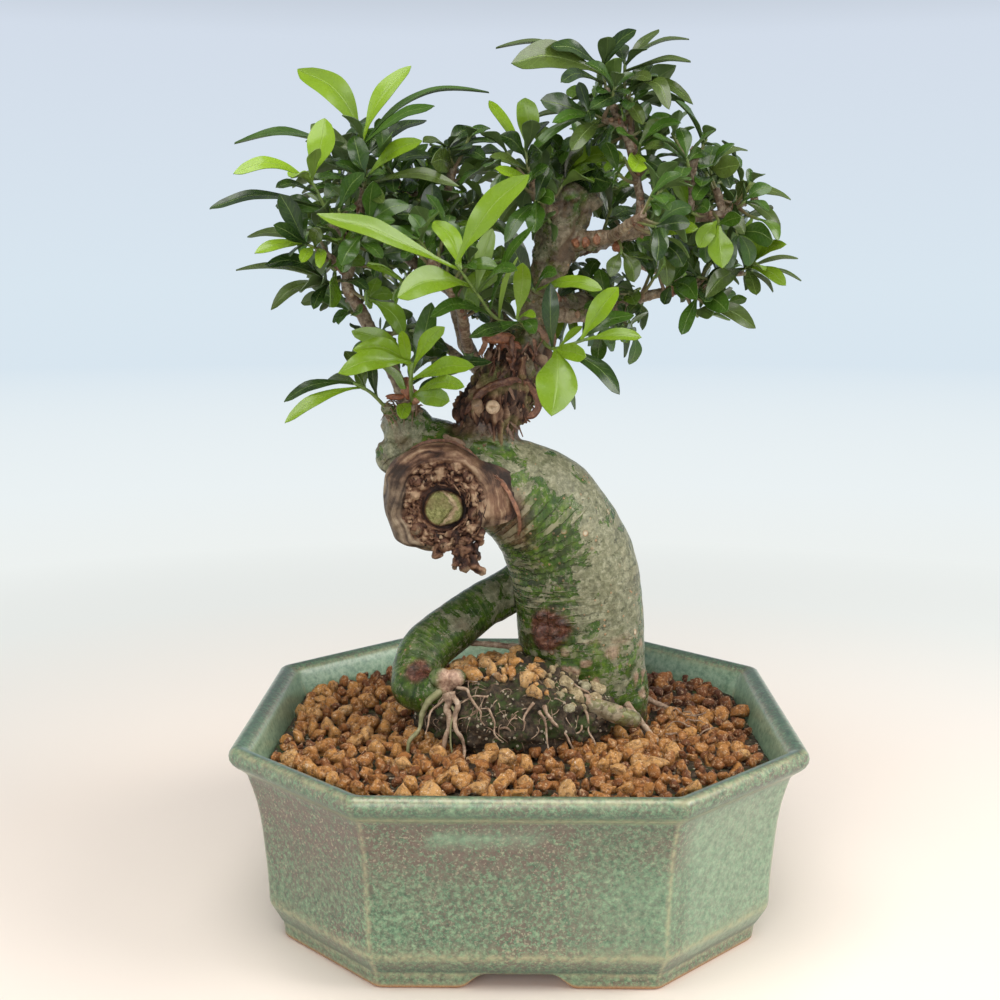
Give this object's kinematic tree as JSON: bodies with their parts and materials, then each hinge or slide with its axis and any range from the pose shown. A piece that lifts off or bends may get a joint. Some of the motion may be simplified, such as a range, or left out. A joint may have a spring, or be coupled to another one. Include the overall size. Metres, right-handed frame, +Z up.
{
  "type": "gardenia bonsai",
  "caption": "Old gardenia trained as a bonsai with an S-shaped trunk, sawn scar, arching root and small glossy leaves, in a low eight-sided glazed pot of clay granules.",
  "frame": {"origin": "on the surface it stands on, under the middle of the overall box, which is also under the middle of the pot", "axes": "+Z up, the front with the sawn scar faces -Y, +X to the viewer's right"},
  "size_m": [0.225, 0.22, 0.352],
  "materials": {
    "pot_glaze": "speckled celadon glaze over brown stoneware",
    "bark": "matt, grey-tan over green, wrinkled",
    "old_soil": "matt",
    "clay_granules": "matt, slightly damp",
    "leaf": "glossy upper side, matt underside",
    "net": "matt"
  },
  "bodies": {
    "root": {"pot": "pot_glaze", "drain_net": "net", "wood": "bark", "root_ball": "old_soil", "soil": "clay_granules", "shoot_left_top": "leaf", "shoot_left_shoot": "leaf", "shoot_left_low": "leaf", "shoot_left_under": "leaf", "shoot_left_inner": "leaf", "shoot_left_fork": "leaf", "shoot_centre_left": "leaf", "shoot_centre_hang": "leaf", "shoot_front": "leaf", "shoot_front_low": "leaf", "shoot_front_trunk": "leaf", "shoot_lower_left": "leaf", "shoot_lower_left_low": "leaf", "shoot_top": "leaf", "shoot_top_right": "leaf", "shoot_top_low": "leaf", "shoot_centre_top": "leaf", "shoot_centre_mid": "leaf", "shoot_crown_mid": "leaf", "shoot_leader_mid": "leaf", "shoot_right_pad": "leaf", "shoot_right_pad_top": "leaf", "shoot_right_tip": "leaf", "shoot_right_end": "leaf", "shoot_right_low": "leaf", "shoot_right_low_in": "leaf", "shoot_right_hang": "leaf", "shoot_right_under": "leaf", "shoot_right_under_in": "leaf", "shoot_lower_right": "leaf", "shoot_back_left": "leaf", "shoot_back_left_low": "leaf", "shoot_back_left_mid": "leaf", "shoot_back_left_far": "leaf", "shoot_back_top": "leaf", "shoot_back_mid": "leaf", "shoot_back_right": "leaf", "shoot_back_right_far": "leaf", "shoot_back_right_low": "leaf", "shoot_back_low_left": "leaf", "shoot_back_low_right": "leaf", "shoot_front_right": "leaf", "shoot_front_right_low": "leaf", "shoot_front_left": "leaf", "shoot_mid_back": "leaf"}
  },
  "joints": []
}
